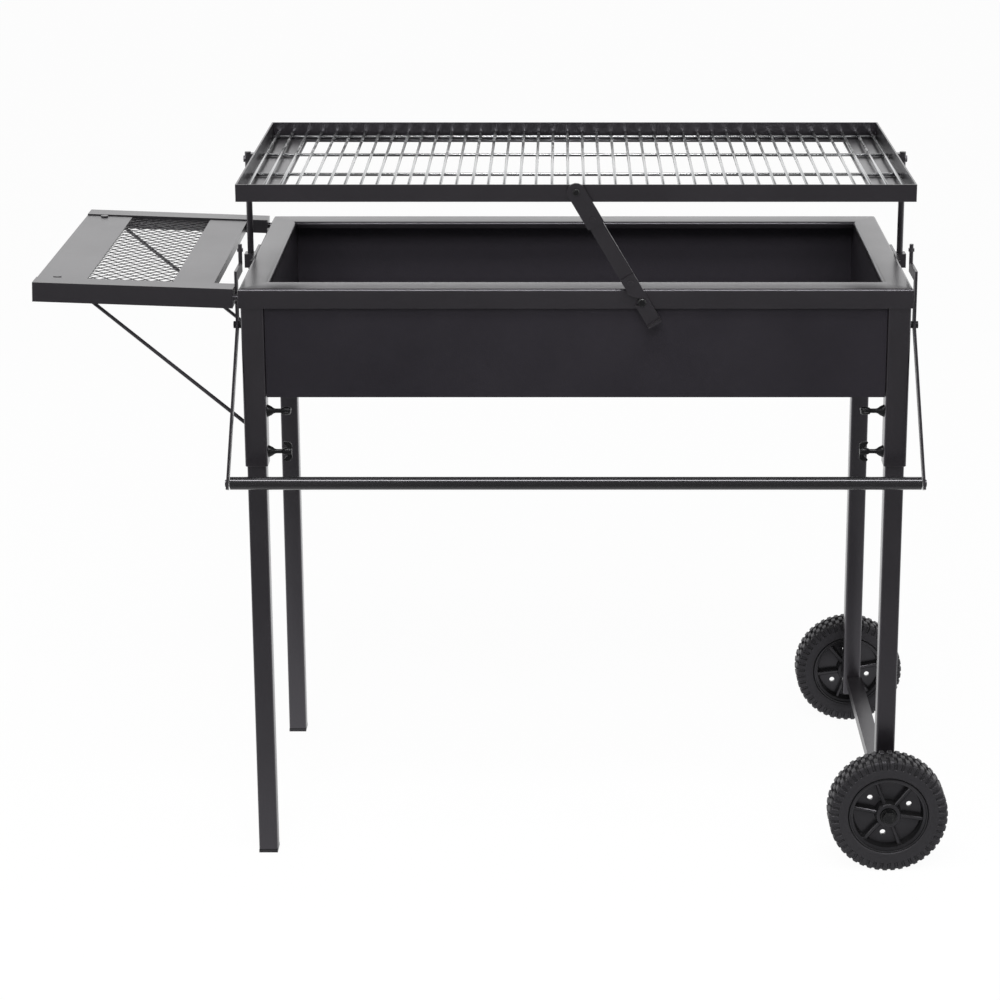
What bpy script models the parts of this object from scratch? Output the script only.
# Charcoal grill on a knock-down stand: an open firebox hung in an angle-iron rim, a cooking grate that
# slides up on two posts and is held by a swinging prop, a folding handle, a bolted side table and two
# wheels. Metres, +Z up, +X to the side with the wheels, +Y to the back.
# Run with: blender --background --python part.py

import math

import bmesh
import bpy
from mathutils import Matrix

# Fits
GAP = 0.0003  # air between pieces that touch
RUN = 0.0004  # air around a piece that turns or slides
SHEET = 0.002  # sheet of the angle irons

# Body: the outer face of the front rim is at y = 0 and the ground at z = 0
BODY_W = 0.820
BODY_D = 0.440
RIM_TOP = 0.743
RIM_FLANGE = 0.042  # top flange of the front and rear rims
RIM_SIDE_FLANGE = 0.034
RIM_SKIRT = 0.024
TUB_SHEET = 0.0012
TUB_DEPTH = 0.135  # inside, below the rim's flange
TUB_SET_BACK = 0.006  # front wall behind the rim's face

# Charcoal tray
TRAY_SHEET = 0.0015
TRAY_HEIGHT = 0.020  # of its feet
TRAY_MARGIN = 0.012  # to the tub's walls
TRAY_SLOT_L = 0.110
TRAY_SLOT_W = 0.008
TRAY_SLOTS_X = 5
TRAY_SLOTS_Y = 5
TRAY_FOOT_T = 0.0015
TRAY_FOOT_INSET = 0.030

# Legs
SLEEVE = 0.028  # square
SLEEVE_WALL = 0.0018
SLEEVE_PAST = 0.088  # its lower end below the firebox
LEG_WALL = 0.0015
LEG_PAST = 0.024  # upper end of the legs above the upper wing screws
LEG_OFF_GROUND = 0.057  # lower end of the legs that carry the wheels
FOOT_CAP = 0.004
CLAMP_RISE = 0.016  # lower wing screws above the sleeves' lower end
CLAMP_PITCH = 0.052
CLAMP_SHANK_R = 0.003
CLAMP_BOSS_R = 0.0085
CLAMP_BOSS_TIP_R = 0.0045
CLAMP_BOSS_L = 0.008
CLAMP_NECK_L = 0.010
CLAMP_WING_SPAN = 0.026
CLAMP_WING_L = 0.009
CLAMP_WING_T = 0.003

# Axle and wheels
AXLE_R = 0.005
WHEEL_R = 0.075
TYRE_W = 0.042
TYRE_BORE_R = 0.052
TYRE_CROWN = 0.006  # rounding of the shoulders
WHEEL_OUT = 0.054  # outer face of the tyre, in front of the rim's face
HUB_W = 0.034
HUB_LIP = 0.0035
HUB_WEB_T = 0.004
HUB_BOSS_R = 0.016
HUB_BOSS_W = 0.036
RIB_COUNT = 6
RIB_TURN = -0.17  # radians
HOLE_R = 0.0035
HOLE_AT = 0.029
RIB_T = 0.0035
RIB_W = 0.020
SPACER_R = 0.009
WASHER_R = 0.010
WASHER_T = 0.0015
NUT_R = 0.0085
NUT_L = 0.006
AXLE_BEAM_W = 0.021
AXLE_BEAM_H = 0.014

# Cooking grate
GRATE_PLAY = 0.001  # the frame's ends inside the rim's ends
GRATE_Z = 0.8507  # underside, raised
GRATE_H = 0.021
GRATE_FLANGE = 0.034
GRATE_SIDE_FLANGE = 0.050
WIRE_R = 0.0023
WIRE_ROWS = 4
WIRE_INSET = 0.018
BAR_R = 0.0022
BAR_MARGIN = 0.0085  # least room beyond the last bar
BAR_PITCH = 0.0195
WELD = 0.0004  # bars sunk into the long wires

# Lift posts and their guides
POST_R = 0.004
POST_PAST = 0.003  # below its guide, with the grate raised
GUIDE_WALL = 0.003
GUIDE_LONG = 0.100
GUIDE_H = 0.018
GUIDE_BELOW = 0.003  # its top below the rim's top
GUIDE_BOSS = 0.018
LUG_W = 0.012
LUG_H = 0.014
BOLT_HEAD_R = 0.0045
BOLT_HEAD_T = 0.003

# Prop that holds the grate up
PROP_T = 0.003
PROP_BAR_W = 0.018
PROP_BAR_L = 0.189
PROP_LINK_W = 0.022
PROP_LINK_L = 0.048
PROP_DOUBLER_L = 0.068
PROP_PIVOT_UP = 0.013  # above the frame's underside
PROP_PIVOT_R = 0.003
PIN_X = 0.080
PIN_DOWN = 0.015  # below the rim's top
PIN_R = 0.0035
PIN_HEAD_R = 0.005
PROP_PIVOT_HEAD_R = 0.0042
PIN_HEAD_T = 0.0025
SLOT_PLAY = 0.0006
SLOT_FLARE = 0.32  # rise of the slot's upper edge for each unit of length
LIP = 0.007
RIVET_R = 0.0035
RIVET_T = 0.0015

# Handle
HANDLE_BAR_R = 0.008
HANDLE_WALL = 0.0012
HANDLE_BAR_Y = -0.048
HANDLE_DROP = 0.182  # the bar below the arms' pivots
ARM_T = 0.003
ARM_W = 0.014
ARM_OUT = 0.002  # arm's inner face outside the rim's end
PIVOT_Y = 0.020
PIVOT_DOWN = 0.049  # below the rim's top
ARM_RISE = 0.061  # from the pivot to the crank's upper run
ARM_CRANK = 0.056  # length of the upper run
ARM_FLARE = 0.010  # lean outwards from the pivot to the bar
ARM_SHANK_R = 0.003
STOP_R = 0.0025
STOP_L = 0.022
STOP_NUT_R = 0.004
STOP_NUT_T = 0.004

# Side table, tilted up about the upper edge of its inner end
TABLE_GAP = 0.0056  # rim to table, which lets the handle's arm pass
TABLE_L = 0.243
TABLE_TILT = 0.036  # radians
TABLE_FLANGE = 0.030
TABLE_SKIRT = 0.024
TABLE_STEP = 0.0015  # plates below the rails' tops
TABLE_OUTER_W = 0.061
TABLE_PLATE_IN = 0.027  # inner plate, from the table's inner end
TABLE_INNER_W = 0.050
MESH_T = 0.0012
MESH_UNDER = 0.006  # mesh under the plates' edges
MESH_PITCH_Y = 0.034
MESH_PITCH_X = 0.0170
MESH_STRAND = 0.0030
TABLE_BOLT_R = 0.004
TABLE_BOLT_Y = 0.0068
TABLE_BOLT_DOWN = 0.012
SCREW_R = 0.005
SCREW_T = 0.0018
SCREW_X = 0.024  # from the outer end
SCREW_Y = 0.008  # from the rail's flange
BRACE_R = 0.0025
BRACE_IN = 0.049  # upper end, from the table's outer end
BRACE_RISE = 0.0345  # lower end, above the sleeves' lower end
BRACE_EYE_R = 0.007
BRACE_KNEE = 0.012

# Places that follow from the sizes
HALF_W = BODY_W / 2
FLANGE_UNDER = RIM_TOP - SHEET
SLEEVE_X = HALF_W - SHEET - GAP - SLEEVE / 2
SLEEVE_Y = SHEET + GAP + SLEEVE / 2
SLEEVE_INNER = SLEEVE_X - SLEEVE / 2
SLEEVE_OUTER = SLEEVE_X + SLEEVE / 2
SLEEVE_TOP = FLANGE_UNDER - GAP
LEG = SLEEVE - 2 * SLEEVE_WALL - 2 * GAP
TUB_HALF_X = SLEEVE_INNER - 2 * GAP
TUB_TOP = FLANGE_UNDER - GAP
TUB_BOTTOM = TUB_TOP - TUB_DEPTH
SLEEVE_BOTTOM = TUB_BOTTOM - SLEEVE_PAST
CLAMP_LOW = SLEEVE_BOTTOM + CLAMP_RISE
CLAMP_UP = CLAMP_LOW + CLAMP_PITCH
LEG_TOP = CLAMP_UP + LEG_PAST
BRACE_LOW_Z = SLEEVE_BOTTOM + BRACE_RISE
MID_Y = BODY_D / 2
AXLE_Z = WHEEL_R
WHEEL_Y = WHEEL_OUT - TYRE_W / 2
ARM_X = HALF_W + ARM_OUT
PIVOT_Z = RIM_TOP - PIVOT_DOWN
HANDLE_BAR_Z = PIVOT_Z - HANDLE_DROP
POST_X = HALF_W + GAP + GUIDE_WALL + RUN + POST_R
POST_TAIL = GRATE_Z - (RIM_TOP - GUIDE_BELOW - GUIDE_H - POST_PAST)
TABLE_X = -HALF_W - TABLE_GAP
BRACE_X = TABLE_L - BRACE_IN
TABLE_MESH_X = TABLE_PLATE_IN + TABLE_INNER_W
TABLE_MESH_W = TABLE_L - TABLE_OUTER_W - TABLE_MESH_X
PIVOT_GRATE_Z = GRATE_Z + PROP_PIVOT_UP
PIN_Z = RIM_TOP - PIN_DOWN
PROP_ANGLE = math.atan2(PIN_X, PIVOT_GRATE_Z - PIN_Z)

# The frame's origin is under the middle of the whole object's bounding box
LEFT_END = TABLE_X - (TABLE_L * math.cos(TABLE_TILT) + TABLE_SKIRT * math.sin(TABLE_TILT))
RIGHT_END = SLEEVE_X + WHEEL_R
ORIGIN_SHIFT = (-(LEFT_END + RIGHT_END) / 2, -MID_Y, 0)

# Axes for extrusions and rods: local Z runs along world X, or along world -Y
ALONG_X = Matrix(((0, 0, 1), (1, 0, 0), (0, 1, 0))).to_4x4()
ALONG_Y = Matrix.Rotation(math.radians(90), 4, "X")
UPRIGHT = Matrix.Identity(4)


def clear_scene():
    for obj in list(bpy.data.objects):
        bpy.data.objects.remove(obj)
    for mesh in list(bpy.data.meshes):
        bpy.data.meshes.remove(mesh)


def new_collection(name, hidden=False):
    collection = bpy.data.collections.new(name)
    collection.hide_render = hidden
    bpy.context.scene.collection.children.link(collection)
    return collection


clear_scene()
PARTS = new_collection("charcoal_grill")
TOOLS = new_collection("cutters", hidden=True)


def new_material(name, color, roughness, metallic):
    material = bpy.data.materials.new(name)
    material.use_nodes = True
    shader = material.node_tree.nodes["Principled BSDF"]
    shader.inputs["Base Color"].default_value = (*color, 1)
    shader.inputs["Roughness"].default_value = roughness
    shader.inputs["Metallic"].default_value = metallic
    material.diffuse_color = (*color, 1)
    return material


COAT = new_material("black_powder_coat", (0.018, 0.017, 0.018), 0.38, 0.0)
FIREBOX_COAT = new_material("matt_black_steel", (0.014, 0.014, 0.015), 0.6, 0.0)
CHROME = new_material("chromed_wire", (0.62, 0.62, 0.64), 0.16, 1.0)
RUBBER = new_material("wheel_tyre", (0.010, 0.010, 0.011), 0.75, 0.0)
PLASTIC = new_material("black_plastic", (0.012, 0.012, 0.013), 0.42, 0.0)
FASTENER = new_material("blackened_steel", (0.045, 0.044, 0.046), 0.35, 1.0)
GLOSS = new_material("gloss_black_tube", (0.012, 0.012, 0.012), 0.2, 0.0)

ROOT = bpy.data.objects.new("grill_origin", None)
ROOT.location = ORIGIN_SHIFT
PARTS.objects.link(ROOT)


def carrier(name, at, turn=(0, 0, 0)):
    """An empty on a joint's axis, which the pieces that move with it hang from."""
    empty = bpy.data.objects.new(name, None)
    empty.parent = ROOT
    empty.location = at
    empty.rotation_euler = turn
    PARTS.objects.link(empty)
    return empty


def place(name, mesh, material, at, turn=UPRIGHT, parent=None):
    """Adds a part. `at` is in the body's coordinates, or in those of a parent that is given."""
    obj = bpy.data.objects.new(name, mesh)
    obj.parent = parent or ROOT
    obj.location = at
    obj.rotation_euler = turn.to_euler()
    if not mesh.materials:
        mesh.materials.append(material)
    PARTS.objects.link(obj)
    return obj


def moved(dx, dy, dz):
    return Matrix.Translation((dx, dy, dz))


def smooth(mesh):
    mesh.shade_smooth()
    mesh.set_sharp_from_angle(angle=math.radians(35))
    return mesh


def bake(source):
    """The evaluated mesh of a helper object, which is then removed."""
    bpy.context.view_layer.update()
    graph = bpy.context.evaluated_depsgraph_get()
    mesh = bpy.data.meshes.new_from_object(source.evaluated_get(graph))
    bm = bmesh.new()
    bm.from_mesh(mesh)
    bmesh.ops.remove_doubles(bm, verts=bm.verts, dist=0.000005)
    bmesh.ops.recalc_face_normals(bm, faces=bm.faces)
    bm.to_mesh(mesh)
    bm.free()
    mesh.materials.clear()
    bpy.data.objects.remove(source)
    return mesh


def extruded(loops, length):
    """A flat outline with holes, filled and extruded to both sides of its plane."""
    curve = bpy.data.curves.new("outline", "CURVE")
    curve.dimensions = "2D"
    curve.fill_mode = "BOTH"
    curve.extrude = length / 2
    for loop in loops:
        spline = curve.splines.new("POLY")
        spline.points.add(len(loop) - 1)
        for point, (x, y) in zip(spline.points, loop):
            point.co = (x, y, 0, 1)
        spline.use_cyclic_u = True
    source = bpy.data.objects.new("outline", curve)
    TOOLS.objects.link(source)
    return bake(source)


def turned(profile, steps=24):
    """A solid of revolution about Z from (radius, z) points, outer side top to bottom."""
    mesh = bpy.data.meshes.new("profile")
    bm = bmesh.new()
    points = [bm.verts.new((r, 0, z)) for r, z in profile]
    for first, second in zip(points, points[1:] + points[:1]):
        if first.co.x > 0 or second.co.x > 0:
            bm.edges.new((first, second))
    bm.to_mesh(mesh)
    bm.free()
    source = bpy.data.objects.new("profile", mesh)
    TOOLS.objects.link(source)
    screw = source.modifiers.new("turn", "SCREW")
    screw.steps = steps
    screw.render_steps = steps
    screw.use_merge_vertices = True
    screw.merge_threshold = 0.00001
    return smooth(bake(source))


def rod(radius, length, sides=12):
    """A cylinder along Z, centred."""
    mesh = bpy.data.meshes.new("rod")
    bm = bmesh.new()
    bmesh.ops.create_cone(bm, cap_ends=True, segments=sides, radius1=radius, radius2=radius, depth=length)
    bm.to_mesh(mesh)
    bm.free()
    return smooth(mesh)


def block(dx, dy, dz):
    mesh = bpy.data.meshes.new("block")
    bm = bmesh.new()
    bmesh.ops.create_cube(bm, size=1)
    bmesh.ops.scale(bm, vec=(dx, dy, dz), verts=bm.verts)
    bm.to_mesh(mesh)
    bm.free()
    return mesh


def cluster(pieces):
    """One cutting or joining tool from (mesh, matrix) pairs that lie apart."""
    mesh = bpy.data.meshes.new("cluster")
    bm = bmesh.new()
    for piece, matrix in pieces:
        copy = piece.copy()
        copy.transform(matrix)
        bm.from_mesh(copy)
        bpy.data.meshes.remove(copy)
    bm.to_mesh(mesh)
    bm.free()
    return smooth(mesh)


def combined(mesh, tool, matrix, operation):
    """A mesh cut by, or joined to, a second one that stands at `matrix`."""
    source = bpy.data.objects.new("base", mesh)
    cutter = bpy.data.objects.new("cutter", tool)
    TOOLS.objects.link(source)
    TOOLS.objects.link(cutter)
    cutter.matrix_world = matrix
    cutter.hide_render = True
    cutter.display_type = "WIRE"
    boolean = source.modifiers.new("combine", "BOOLEAN")
    boolean.operation = operation
    boolean.solver = "EXACT"
    boolean.object = cutter
    result = bake(source)
    bpy.data.objects.remove(cutter)
    return result


def cut(mesh, tool, matrix):
    return combined(mesh, tool, matrix, "DIFFERENCE")


def joined(mesh, tool, matrix):
    return combined(mesh, tool, matrix, "UNION")


def circle(x, y, radius, sides=16):
    steps = [2 * math.pi * k / sides for k in range(sides)]
    return [(x + radius * math.cos(a), y + radius * math.sin(a)) for a in steps]


def rectangle(x0, y0, x1, y1):
    return [(x0, y0), (x1, y0), (x1, y1), (x0, y1)]


def angle_outline(width, height, sheet, rise=-1):
    """An angle iron seen from its end: flange from the origin to +x, skirt down, or up if rise is 1."""
    high = rise * height
    thick = rise * sheet
    return [(0, 0), (0, high), (sheet, high), (sheet, thick), (width, thick), (width, 0)]


def quarter(turns):
    """Quarter turns about Z."""
    return Matrix.Rotation(math.radians(90 * turns), 4, "Z")


def side_angle(width, height, rise, reach):
    """The angle iron of a side, notched where the front and rear ones lie over its ends."""
    length = BODY_D - 2 * (SHEET + GAP)
    mesh = extruded([angle_outline(width, height, SHEET, rise)], length)
    over = 0.01
    deep = SHEET + GAP + over
    long = reach + GAP + over
    notch = block(width + 2 * over, deep, long)
    x = width / 2
    y = rise * ((SHEET + GAP) - deep / 2)
    z = MID_Y - reach - GAP + long / 2
    tool = cluster([(notch, moved(x, y, z)), (notch, moved(x, y, -z))])
    return cut(mesh, tool, UPRIGHT)


def make_rim():
    long = extruded([angle_outline(RIM_FLANGE, RIM_SKIRT, SHEET)], BODY_W)
    place("rim_front", long, COAT, (0, 0, RIM_TOP), ALONG_X)
    place("rim_rear", long, COAT, (0, BODY_D, RIM_TOP), quarter(2) @ ALONG_X)
    side = side_angle(RIM_SIDE_FLANGE, RIM_SKIRT, -1, RIM_FLANGE)
    place("rim_left", side, COAT, (-HALF_W, MID_Y, RIM_TOP), quarter(-1) @ ALONG_X)
    place("rim_right", side, COAT, (HALF_W, MID_Y, RIM_TOP), quarter(1) @ ALONG_X)


def make_firebox():
    """An open sheet tub under the rim's flanges, between the leg sleeves."""
    wide = 2 * TUB_HALF_X
    deep = BODY_D - 2 * TUB_SET_BACK
    shell = block(wide, deep, TUB_DEPTH)
    inside = block(wide - 2 * TUB_SHEET, deep - 2 * TUB_SHEET, TUB_DEPTH)
    tub = cut(shell, inside, moved(0, 0, TUB_SHEET))
    place("firebox", tub, FIREBOX_COAT, (0, MID_Y, TUB_TOP - TUB_DEPTH / 2))


def make_charcoal_tray():
    """The slotted plate that the charcoal lies on, on two folded feet."""
    wide = 2 * (TUB_HALF_X - TUB_SHEET - TRAY_MARGIN)
    deep = BODY_D - 2 * (TUB_SET_BACK + TUB_SHEET + TRAY_MARGIN)
    slot = block(TRAY_SLOT_L, TRAY_SLOT_W, 2 * TRAY_SHEET)
    slots = []
    for column in range(TRAY_SLOTS_X):
        x = wide * ((column + 0.5) / TRAY_SLOTS_X - 0.5)
        for row in range(TRAY_SLOTS_Y):
            y = deep * ((row + 0.5) / TRAY_SLOTS_Y - 0.5)
            slots.append((slot, moved(x, y, 0)))
    plate = cut(block(wide, deep, TRAY_SHEET), cluster(slots), UPRIGHT)
    foot = block(wide - 2 * TRAY_FOOT_T, TRAY_FOOT_T, TRAY_HEIGHT - TRAY_SHEET / 2)
    down = -(TRAY_HEIGHT - TRAY_SHEET / 2) / 2
    y = deep / 2 - TRAY_FOOT_INSET
    tray = joined(plate, cluster([(foot, moved(0, y, down)), (foot, moved(0, -y, down))]), UPRIGHT)
    z = TUB_BOTTOM + TUB_SHEET + GAP + TRAY_HEIGHT - TRAY_SHEET / 2
    place("charcoal_tray", tray, FIREBOX_COAT, (0, MID_Y, z))


def square_tube(outer, wall, length):
    a = outer / 2
    b = a - wall
    return extruded([rectangle(-a, -a, a, a), rectangle(-b, -b, b, b)], length)


def make_sleeves():
    """Four square tubes under the rim's corners, drilled on their inner side for the wing screws."""
    length = SLEEVE_TOP - SLEEVE_BOTTOM
    middle = (SLEEVE_TOP + SLEEVE_BOTTOM) / 2
    drill = rod(CLAMP_SHANK_R + RUN, 3 * SLEEVE_WALL)
    holes = [(drill, moved(-SLEEVE / 2, 0, z - middle) @ ALONG_X) for z in (CLAMP_UP, CLAMP_LOW)]
    sleeve = cut(square_tube(SLEEVE, SLEEVE_WALL, length), cluster(holes), UPRIGHT)
    front = SLEEVE_Y
    rear = BODY_D - SLEEVE_Y
    place("sleeve_front_right", sleeve, COAT, (SLEEVE_X, front, middle))
    place("sleeve_rear_right", sleeve, COAT, (SLEEVE_X, rear, middle))
    place("sleeve_front_left", sleeve, COAT, (-SLEEVE_X, front, middle), quarter(2))
    place("sleeve_rear_left", sleeve, COAT, (-SLEEVE_X, rear, middle), quarter(2))


def make_legs():
    foot = FOOT_CAP + GAP
    tall = square_tube(LEG, LEG_WALL, LEG_TOP - foot)
    short_length = LEG_TOP - LEG_OFF_GROUND
    middle = (LEG_TOP + LEG_OFF_GROUND) / 2
    drill = rod(AXLE_R + GAP, 2 * SLEEVE)
    short = cut(square_tube(LEG, LEG_WALL, short_length), drill, moved(0, 0, AXLE_Z - middle) @ ALONG_Y)
    cap = block(LEG, LEG, FOOT_CAP)
    inner = LEG - 2 * LEG_WALL - 2 * GAP
    plug = block(inner, inner, 3 * FOOT_CAP)
    cap = joined(cap, plug, moved(0, 0, FOOT_CAP))
    reach = MID_Y - SLEEVE_Y
    for label, y in (("front", MID_Y - reach), ("rear", MID_Y + reach)):
        place(f"leg_{label}_left", tall, COAT, (-SLEEVE_X, y, (LEG_TOP + foot) / 2))
        place(f"leg_{label}_right", short, COAT, (SLEEVE_X, y, middle))
        place(f"foot_cap_{label}", cap, PLASTIC, (-SLEEVE_X, y, FOOT_CAP / 2))


def wing_screw():
    """A wing screw along Z: its tip meets the leg, and its boss the sleeve's face at z = 0."""
    boss_end = GAP + CLAMP_BOSS_L
    neck_end = boss_end + CLAMP_NECK_L
    hub_r = CLAMP_SHANK_R * 1.5
    top = neck_end + CLAMP_WING_L
    profile = [(0, top), (hub_r, top), (hub_r, neck_end), (CLAMP_SHANK_R, neck_end)]
    profile += [(CLAMP_SHANK_R, boss_end), (CLAMP_BOSS_TIP_R, boss_end)]
    profile += [(CLAMP_BOSS_R, GAP + CLAMP_BOSS_L / 4), (CLAMP_BOSS_R, GAP)]
    profile += [(CLAMP_SHANK_R, GAP), (CLAMP_SHANK_R, -SLEEVE_WALL), (0, -SLEEVE_WALL)]
    screw = turned(profile, 8)
    half = CLAMP_WING_SPAN / 2
    right = [(half, 0.35), (half * 0.9, 1.2), (half * 0.4, 1.15), (hub_r * 0.6, 0.8)]
    left = [(-x, y) for x, y in reversed(right)]
    outline = [(x, y * CLAMP_WING_L) for x, y in [(0, 0.1)] + right + left]
    wings = extruded([outline], CLAMP_WING_T)
    return joined(screw, wings, moved(0, 0, neck_end) @ ALONG_Y)


def make_clamps():
    """Two wing screws in each sleeve, upper wings edge-on and lower ones upright."""
    screw = wing_screw()
    for label, y in (("front", SLEEVE_Y), ("rear", BODY_D - SLEEVE_Y)):
        for level, z, roll in (("upper", CLAMP_UP, 0), ("lower", CLAMP_LOW, 1)):
            left = ALONG_X @ quarter(roll)
            name = f"wing_screw_{label}_left_{level}"
            place(name, screw, FASTENER, (-SLEEVE_INNER, y, z), left)
            name = f"wing_screw_{label}_right_{level}"
            place(name, screw, FASTENER, (SLEEVE_INNER, y, z), quarter(2) @ left)


def tyre_mesh():
    half = TYRE_W / 2
    c = TYRE_CROWN
    side = [(TYRE_BORE_R, half * 0.78), (TYRE_BORE_R + c / 3, half * 0.82), (WHEEL_R - 1.6 * c, half)]
    side += [(WHEEL_R - 0.4 * c, half - 0.6 * c), (WHEEL_R, half - 1.8 * c)]
    return turned(side + [(r, -z) for r, z in reversed(side)], 32)


def hub_mesh():
    """Wheel centre: a rim tube, a recessed web with radial ribs, and a bored boss that is longer inside."""
    outer = TYRE_BORE_R - GAP
    inner = outer - HUB_LIP
    half = HUB_W / 2
    web = HUB_WEB_T / 2
    boss = HUB_BOSS_W / 2
    bore = AXLE_R + RUN
    leg_face = WHEEL_Y + SLEEVE_Y - LEG / 2 - GAP
    profile = [(bore, boss), (HUB_BOSS_R, boss), (HUB_BOSS_R, web), (inner, web), (inner, half)]
    profile += [(outer, half), (outer, -half), (inner, -half), (inner, -web), (HUB_BOSS_R, -web)]
    profile += [(HUB_BOSS_R, -boss), (SPACER_R, -boss), (SPACER_R, -leg_face), (bore, -leg_face)]
    hub = turned(profile, 24)
    overlap = HUB_LIP / 3
    start = HUB_BOSS_R - overlap
    stop = inner + overlap
    rib = block(stop - start, RIB_T, RIB_W)
    ribs = []
    for k in range(RIB_COUNT):
        turn = Matrix.Rotation(2 * math.pi * k / RIB_COUNT + RIB_TURN, 4, "Z")
        ribs.append((rib, turn @ moved((start + stop) / 2, 0, 0)))
    hub = joined(hub, cluster(ribs), UPRIGHT)
    drill = rod(HOLE_R, 2 * HUB_WEB_T, 10)
    holes = []
    for k in range(0, RIB_COUNT, 2):
        turn = Matrix.Rotation(2 * math.pi * (k + 0.5) / RIB_COUNT + RIB_TURN, 4, "Z")
        holes.append((drill, turn @ moved(HOLE_AT, 0, 0)))
    return smooth(cut(hub, cluster(holes), UPRIGHT))


def axle_nut():
    """A flange nut along Z with its flange's face at z = 0."""
    bore = circle(0, 0, AXLE_R + GAP, 18)
    flange = extruded([circle(0, 0, WASHER_R, 24), bore], WASHER_T)
    flange.transform(moved(0, 0, WASHER_T / 2))
    over = WASHER_T / 2
    nut = extruded([circle(0, 0, NUT_R, 6), bore], NUT_L + over)
    return joined(flange, nut, moved(0, 0, WASHER_T + (NUT_L - over) / 2))


def make_wheels():
    """Axle, beam, nuts and the two wheels, which turn by themselves on the axle."""
    nut_at = MID_Y + WHEEL_Y + HUB_BOSS_W / 2 + GAP
    axle_length = 2 * (nut_at + WASHER_T + NUT_L)
    place("axle", rod(AXLE_R, axle_length, 16), FASTENER, (SLEEVE_X, MID_Y, AXLE_Z), ALONG_Y)
    nut = axle_nut()
    tyre = tyre_mesh()
    hub = hub_mesh()
    one_rib = Matrix.Rotation(2 * math.pi / RIB_COUNT, 4, "Z")
    for label, side, turn in (("front", -1, ALONG_Y), ("rear", 1, quarter(2) @ ALONG_Y @ one_rib)):
        axis = carrier(f"wheel_{label}_axis", (SLEEVE_X, MID_Y + side * (MID_Y + WHEEL_Y), AXLE_Z))
        place(f"tyre_{label}", tyre, RUBBER, (0, 0, 0), turn, axis)
        place(f"wheel_hub_{label}", hub, PLASTIC, (0, 0, 0), turn, axis)
        place(f"axle_nut_{label}", nut, FASTENER, (SLEEVE_X, MID_Y + side * nut_at, AXLE_Z), turn)
    length = BODY_D - 2 * (SLEEVE_Y + LEG / 2 + GAP)
    beam = extruded([angle_outline(AXLE_BEAM_W, AXLE_BEAM_H, SHEET)], length)
    clear = AXLE_R + GAP + SHEET
    place("axle_beam", beam, COAT, (SLEEVE_X - clear, MID_Y, AXLE_Z + clear), quarter(-1) @ ALONG_X)


def make_grate():
    """The cooking grate: an angle frame open at the top, four long wires and the bars across them."""
    slide = carrier("grate_slide", (0, MID_Y, GRATE_Z))
    wide = BODY_W - 2 * GRATE_PLAY
    long = extruded([angle_outline(GRATE_FLANGE, GRATE_H, SHEET, 1)], wide)
    place("grate_frame_front", long, COAT, (0, -MID_Y, 0), ALONG_X, slide)
    place("grate_frame_rear", long, COAT, (0, MID_Y, 0), quarter(2) @ ALONG_X, slide)
    side = side_angle(GRATE_SIDE_FLANGE, GRATE_H, 1, GRATE_FLANGE)
    place("grate_frame_left", side, COAT, (-wide / 2, 0, 0), quarter(-1) @ ALONG_X, slide)
    place("grate_frame_right", side, COAT, (wide / 2, 0, 0), quarter(1) @ ALONG_X, slide)
    wire = rod(WIRE_R, wide - 2 * (SHEET + GAP), 8)
    span = BODY_D - 2 * WIRE_INSET
    wires = []
    for k in range(WIRE_ROWS):
        wires.append((wire, moved(0, span * (k / (WIRE_ROWS - 1) - 0.5), 0) @ ALONG_X))
    bar = rod(BAR_R, BODY_D - 2 * (SHEET + GAP), 8)
    up = WIRE_R + BAR_R - WELD
    gaps = int((wide - 2 * BAR_MARGIN) / BAR_PITCH)
    bars = []
    for k in range(gaps + 1):
        bars.append((bar, moved(BAR_PITCH * (k - gaps / 2), 0, up) @ ALONG_Y))
    grid = smooth(joined(cluster(bars), cluster(wires), UPRIGHT))
    place("grate_wires", grid, CHROME, (0, 0, SHEET + GAP + WIRE_R), UPRIGHT, slide)
    return slide


def bolt_head():
    return extruded([circle(0, 0, BOLT_HEAD_R, 6)], BOLT_HEAD_T)


def make_lift(slide):
    """Two posts fixed to the grate's ends, running in guides on the rim's ends."""
    frame_face = HALF_W - GRATE_PLAY
    middle = (GRATE_H - POST_TAIL) / 2
    lug = POST_X - frame_face - GAP
    lug_z = GRATE_H - SHEET - LUG_H / 2
    head = bolt_head()
    pieces = [(block(lug, LUG_W, LUG_H), moved(-lug / 2, 0, lug_z - middle))]
    pieces.append((head, moved(POST_R, 0, lug_z - middle) @ ALONG_X))
    post = rod(POST_R, GRATE_H + POST_TAIL)
    for piece, matrix in pieces:
        post = joined(post, piece, matrix)
    place("lift_post_right", smooth(post), COAT, (POST_X, 0, middle), UPRIGHT, slide)
    place("lift_post_left", post, COAT, (-POST_X, 0, middle), quarter(2), slide)

    hole = GUIDE_WALL + RUN + POST_R
    boss = hole + POST_R + RUN + GUIDE_WALL
    half = GUIDE_LONG / 2
    wing = GUIDE_BOSS / 2
    outline = [(0, -half), (GUIDE_WALL, -half), (GUIDE_WALL, -wing), (boss, -wing)]
    outline += [(boss, wing), (GUIDE_WALL, wing), (GUIDE_WALL, half), (0, half)]
    guide = extruded([outline, circle(hole, 0, POST_R + RUN, 16)], GUIDE_H)
    spread = (half + wing) / 2
    heads = cluster([(head, moved(GUIDE_WALL, y, 0) @ ALONG_X) for y in (-spread, spread)])
    guide = smooth(joined(guide, heads, UPRIGHT))
    z = RIM_TOP - GUIDE_BELOW - GUIDE_H / 2
    face = HALF_W + GAP
    place("lift_guide_right", guide, COAT, (face, MID_Y, z))
    place("lift_guide_left", guide, COAT, (-face, MID_Y, z), quarter(2))


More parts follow.
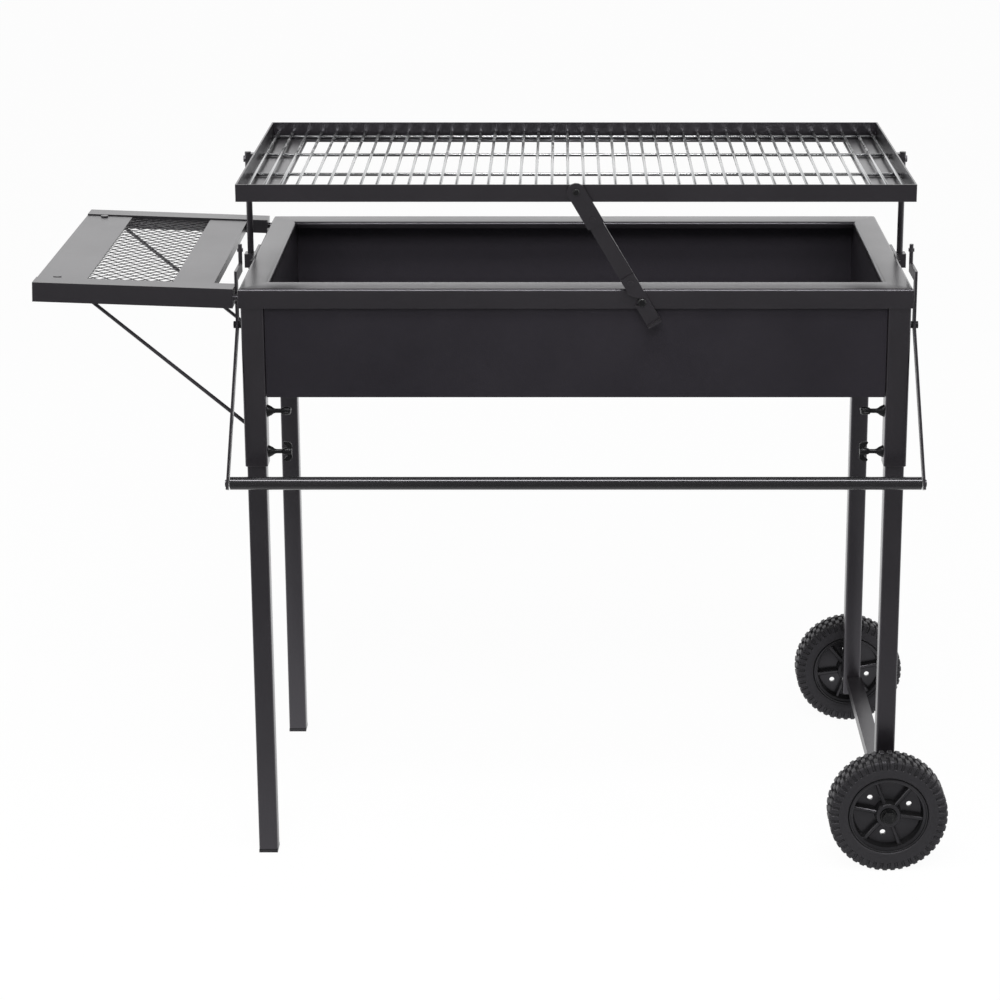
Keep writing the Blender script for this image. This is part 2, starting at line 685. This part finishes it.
def strap(width, length, hole):
    """A flat bar seen from its face, hanging from a hole at the origin, with a round top."""
    arc = [math.pi * k / 8 for k in range(9)]
    half = width / 2
    outline = [(half * math.cos(a), half * math.sin(a)) for a in arc]
    outline += [(-half, -length), (half, -length)]
    return [outline, circle(0, 0, hole, 12)]


def hook_slot():
    """The slot for the pin: level below, flared above, open towards -x. Seen from the prop's pivot."""
    x = PIN_X
    z = PIN_Z - PIVOT_GRATE_Z
    half = PIN_R + SLOT_PLAY
    reach = 2 * PROP_BAR_W
    arc = [math.pi * (k / 8 - 0.5) for k in range(9)]
    outline = [(x - reach, z - half)]
    outline += [(x + half * math.cos(a), z + half * math.sin(a)) for a in arc]
    outline.append((x - reach, z + half + SLOT_FLARE * reach))
    return extruded([outline], 4 * PROP_T)


def headed_pin(shank_r, face, head_r, head_t):
    """A pin along Z that stands on a face at z = 0, with its head's underside at `face`."""
    top = face + head_t
    profile = [(0, top), (head_r * 0.8, top), (head_r, top - head_t / 3), (head_r, face)]
    profile += [(shank_r, face), (shank_r, GAP), (0, GAP)]
    return turned(profile, 16)


def make_prop(slide):
    """The prop swings on the grate's front and its slot hooks over a pin on the rim."""
    axis = bpy.data.objects.new("prop_axis", None)
    axis.parent = slide
    axis.location = (0, -MID_Y, PROP_PIVOT_UP)
    PARTS.objects.link(axis)
    lean = Matrix.Rotation(PROP_ANGLE, 4, "Z")
    hole = PROP_PIVOT_R + RUN
    back = GAP + PROP_T / 2
    front = back + PROP_T + GAP
    slot = hook_slot()

    bar = extruded(strap(PROP_BAR_W, PROP_BAR_L, hole), PROP_T)
    bar.transform(lean)
    place("prop_bar", cut(bar, slot, UPRIGHT), COAT, (0, -back, 0), ALONG_Y, axis)

    link = extruded(strap(PROP_LINK_W, PROP_LINK_L, hole), PROP_T)
    rivet = rod(RIVET_R, 2 * RIVET_T)
    link = joined(link, rivet, moved(0, -(PROP_LINK_L - 2.5 * RIVET_R), PROP_T / 2))
    link.transform(lean)
    place("prop_link", link, COAT, (0, -front, 0), ALONG_Y, axis)

    half = PROP_BAR_W / 2
    top = PROP_DOUBLER_L - PROP_BAR_L
    doubler = extruded([rectangle(-half, -PROP_BAR_L, half, top)], PROP_T)
    lip = block(PROP_BAR_W * 0.98, PROP_T, LIP + PROP_T * 0.9)
    doubler = joined(doubler, lip, moved(0, -PROP_BAR_L + PROP_T * 0.55, (LIP + PROP_T * 0.05) / 2))
    doubler = joined(doubler, rivet, moved(0, top - 2.5 * RIVET_R, PROP_T / 2))
    doubler.transform(lean)
    place("prop_doubler", cut(doubler, slot, UPRIGHT), COAT, (0, -front, 0), ALONG_Y, axis)

    face = 2 * PROP_T + 3 * GAP
    bolt = headed_pin(PROP_PIVOT_R, face, PROP_PIVOT_HEAD_R, PIN_HEAD_T)
    place("prop_pivot_bolt", bolt, FASTENER, (0, -MID_Y, PROP_PIVOT_UP), ALONG_Y, slide)
    pin = headed_pin(PIN_R, face, PIN_HEAD_R, PIN_HEAD_T)
    place("prop_pin", pin, FASTENER, (PIN_X, 0, PIN_Z), ALONG_Y)


def strip(points, half):
    """The outline of a bent flat bar along a path, mitred at its bends."""
    left = []
    right = []
    for k, (x, y) in enumerate(points):
        before = points[max(k - 1, 0)]
        after = points[min(k + 1, len(points) - 1)]
        a = math.atan2(y - before[1], x - before[0])
        b = math.atan2(after[1] - y, after[0] - x)
        a = b if k == 0 else a
        b = a if k == len(points) - 1 else b
        middle = (a + b) / 2 + math.pi / 2
        out = half / math.cos((b - a) / 2)
        left.append((x + out * math.cos(middle), y + out * math.sin(middle)))
        right.append((x - out * math.cos(middle), y - out * math.sin(middle)))
    return left + right[::-1]


def make_handle():
    """A tube between two cranked arms, which swing on shoulder bolts on the front sleeves."""
    axis = carrier("handle_axis", (0, PIVOT_Y, PIVOT_Z))
    bar_at = (0, HANDLE_BAR_Y - PIVOT_Y, HANDLE_BAR_Z - PIVOT_Z)
    walls = [circle(0, 0, HANDLE_BAR_R, 20), circle(0, 0, HANDLE_BAR_R - HANDLE_WALL, 20)]
    lean = ARM_FLARE / -bar_at[2]
    bar = smooth(extruded(walls, 2 * (ARM_X + ARM_FLARE - HANDLE_BAR_R * lean - GAP)))
    place("handle_bar", bar, GLOSS, bar_at, ALONG_X, axis)
    reach = math.hypot(bar_at[1], bar_at[2])
    past = 1 + HANDLE_BAR_R / reach
    path = [(bar_at[1] * past, bar_at[2] * past), (0, 0), (0, ARM_RISE), (ARM_CRANK, ARM_RISE)]
    arm = extruded([strip(path, ARM_W / 2), circle(0, 0, ARM_SHANK_R + RUN, 12)], ARM_T)
    sunk = ARM_W / 4
    stop = rod(STOP_R, STOP_L + sunk)
    stop_at = ARM_RISE + ARM_W / 2 + (STOP_L - sunk) / 2
    nut = extruded([circle(0, 0, STOP_NUT_R, 6)], STOP_NUT_T)
    upright = Matrix.Rotation(math.radians(-90), 4, "X")
    arm = joined(arm, stop, moved(ARM_CRANK - ARM_W / 2, stop_at, 0) @ upright)
    arm = joined(arm, nut, moved(ARM_CRANK - ARM_W / 2, stop_at + STOP_L / 4, 0) @ upright)
    screw = rod(BOLT_HEAD_R, BOLT_HEAD_T)
    arm_at = ARM_X + ARM_T / 2
    for label, side in (("left", -1), ("right", 1)):
        whole = arm.copy()
        for vertex in whole.vertices:
            if vertex.co.y < bar_at[2] / 2:
                vertex.co.z -= side * lean * vertex.co.y
        whole = joined(whole, screw, moved(bar_at[1], bar_at[2], side * (ARM_FLARE + ARM_T / 2)))
        place(f"handle_arm_{label}", smooth(whole), COAT, (side * arm_at, 0, 0), ALONG_X, axis)

    shoulder = ARM_X - SLEEVE_OUTER - GAP
    face = ARM_X + ARM_T + GAP - SLEEVE_OUTER
    top = face + BOLT_HEAD_T
    profile = [(0, top), (BOLT_HEAD_R, top), (BOLT_HEAD_R, face), (ARM_SHANK_R, face)]
    profile += [(ARM_SHANK_R, shoulder), (BOLT_HEAD_R, shoulder), (BOLT_HEAD_R, GAP), (0, GAP)]
    pivot = turned(profile, 16)
    place("handle_pivot_right", pivot, FASTENER, (SLEEVE_OUTER, PIVOT_Y, PIVOT_Z), ALONG_X)
    place("handle_pivot_left", pivot, FASTENER, (-SLEEVE_OUTER, PIVOT_Y, PIVOT_Z), quarter(2) @ ALONG_X)


def table_net():
    """The expanded sheet: an outline with rows of diamond gaps, every second row set off by half."""
    wide = TABLE_MESH_W + 2 * MESH_UNDER
    deep = BODY_D - 2 * (TABLE_FLANGE - MESH_UNDER)
    loops = [rectangle(-wide / 2, -deep / 2, wide / 2, deep / 2)]
    px = MESH_PITCH_X / 2
    py = MESH_PITCH_Y / 2
    shrink = 1 - MESH_STRAND * math.hypot(px, py) / (2 * px * py)
    hx = px * shrink
    hy = py * shrink
    edge_x = wide / 2 - MESH_STRAND - hx
    edge_y = deep / 2 - MESH_STRAND - hy
    for i in range(-int(edge_x / px), int(edge_x / px) + 1):
        x = i * px
        for j in range(-int(deep / py), int(deep / py) + 1):
            y = j * py
            if (i + j) % 2 == 0 and abs(y) <= edge_y:
                loops.append([(x - hx, y), (x, y - hy), (x + hx, y), (x, y + hy)])
    return extruded(loops, MESH_T)


def make_table():
    """The side table: two angle rails, an outer and an inner plate and a net between them."""
    frame = carrier("table_frame", (TABLE_X, 0, RIM_TOP), (0, TABLE_TILT, 0))
    rail = extruded([angle_outline(TABLE_FLANGE, TABLE_SKIRT, SHEET)], TABLE_L)
    inset = SHEET / 4
    tab = block(TABLE_FLANGE - 2 * inset, TABLE_SKIRT - 2 * inset, SHEET)
    end = (TABLE_L - SHEET) / 2
    for z in (-end, end):
        rail = joined(rail, tab, moved(TABLE_FLANGE / 2, -TABLE_SKIRT / 2, z))
    length = TABLE_GAP + (TABLE_BOLT_DOWN - TABLE_BOLT_R) * math.sin(TABLE_TILT) - GAP
    bolt = rod(TABLE_BOLT_R, length + SHEET / 2, 16)
    bolt_z = TABLE_L / 2 + (length - SHEET / 2) / 2
    front = joined(rail.copy(), bolt, moved(TABLE_BOLT_Y, -TABLE_BOLT_DOWN, bolt_z))
    rear = joined(rail, bolt, moved(TABLE_BOLT_Y, -TABLE_BOLT_DOWN, -bolt_z))
    place("table_rail_front", smooth(front), COAT, (-TABLE_L / 2, 0, 0), ALONG_X, frame)
    place("table_rail_rear", smooth(rear), COAT, (-TABLE_L / 2, BODY_D, 0), quarter(2) @ ALONG_X, frame)
    between = BODY_D - 2 * (TABLE_FLANGE + GAP)
    outer = extruded([angle_outline(TABLE_OUTER_W, TABLE_SKIRT, SHEET)], between)
    screw = rod(SCREW_R, 2 * SCREW_T)
    spread = between / 2 - SCREW_Y
    for y in (-spread, spread):
        outer = joined(outer, screw, moved(SCREW_X, 0, y) @ ALONG_Y)
    smooth(outer)
    place("table_outer_plate", outer, COAT, (-TABLE_L, MID_Y, -TABLE_STEP), quarter(-1) @ ALONG_X, frame)
    inner = extruded([angle_outline(TABLE_INNER_W, TABLE_SKIRT / 2, SHEET)], between)
    place("table_inner_plate", inner, COAT, (-TABLE_PLATE_IN, MID_Y, -TABLE_STEP), quarter(1) @ ALONG_X, frame)
    net_at = (-TABLE_MESH_X - TABLE_MESH_W / 2, MID_Y, -TABLE_STEP - SHEET - GAP - MESH_T / 2)
    place("table_net", table_net(), COAT, net_at, UPRIGHT, frame)


def make_braces():
    """Two rods from under the table's outer plate to eyes bolted on the left sleeves."""
    sine = math.sin(TABLE_TILT)
    under = TABLE_STEP + SHEET
    top_x = TABLE_X - BRACE_X * math.cos(TABLE_TILT) - under * sine
    top_z = RIM_TOP + BRACE_X * sine - (under + GAP) * math.cos(TABLE_TILT) - BRACE_R * sine
    low_x = -SLEEVE_X
    run = [(top_x, top_z), (top_x, top_z - BRACE_KNEE), (low_x, BRACE_LOW_Z)]
    curve = bpy.data.curves.new("brace", "CURVE")
    curve.dimensions = "3D"
    curve.bevel_depth = BRACE_R
    curve.bevel_resolution = 2
    curve.use_fill_caps = True
    spline = curve.splines.new("POLY")
    spline.points.add(len(run) - 1)
    for point, (x, z) in zip(spline.points, run):
        point.co = (x - low_x, 0, z - BRACE_LOW_Z, 1)
    source = bpy.data.objects.new("brace", curve)
    TOOLS.objects.link(source)
    brace = bake(source)
    eye_t = 2 * (BRACE_R + GAP)
    brace = joined(brace, rod(BRACE_EYE_R, eye_t, 20), ALONG_Y)
    head = bolt_head()
    shift = eye_t / 2
    front = smooth(joined(brace.copy(), head, moved(0, shift, 0) @ ALONG_Y))
    rear = smooth(joined(brace, head, moved(0, -shift, 0) @ ALONG_Y))
    seat = SLEEVE_Y + SLEEVE / 2 + GAP + eye_t / 2
    place("table_brace_front", front, COAT, (low_x, seat, BRACE_LOW_Z))
    place("table_brace_rear", rear, COAT, (low_x, BODY_D - seat, BRACE_LOW_Z))


def main():
    make_rim()
    make_firebox()
    make_charcoal_tray()
    make_sleeves()
    make_legs()
    make_clamps()
    make_wheels()
    slide = make_grate()
    make_lift(slide)
    make_prop(slide)
    make_handle()
    make_table()
    make_braces()
    for mesh in list(bpy.data.meshes):
        if mesh.users == 0:
            bpy.data.meshes.remove(mesh)


main()
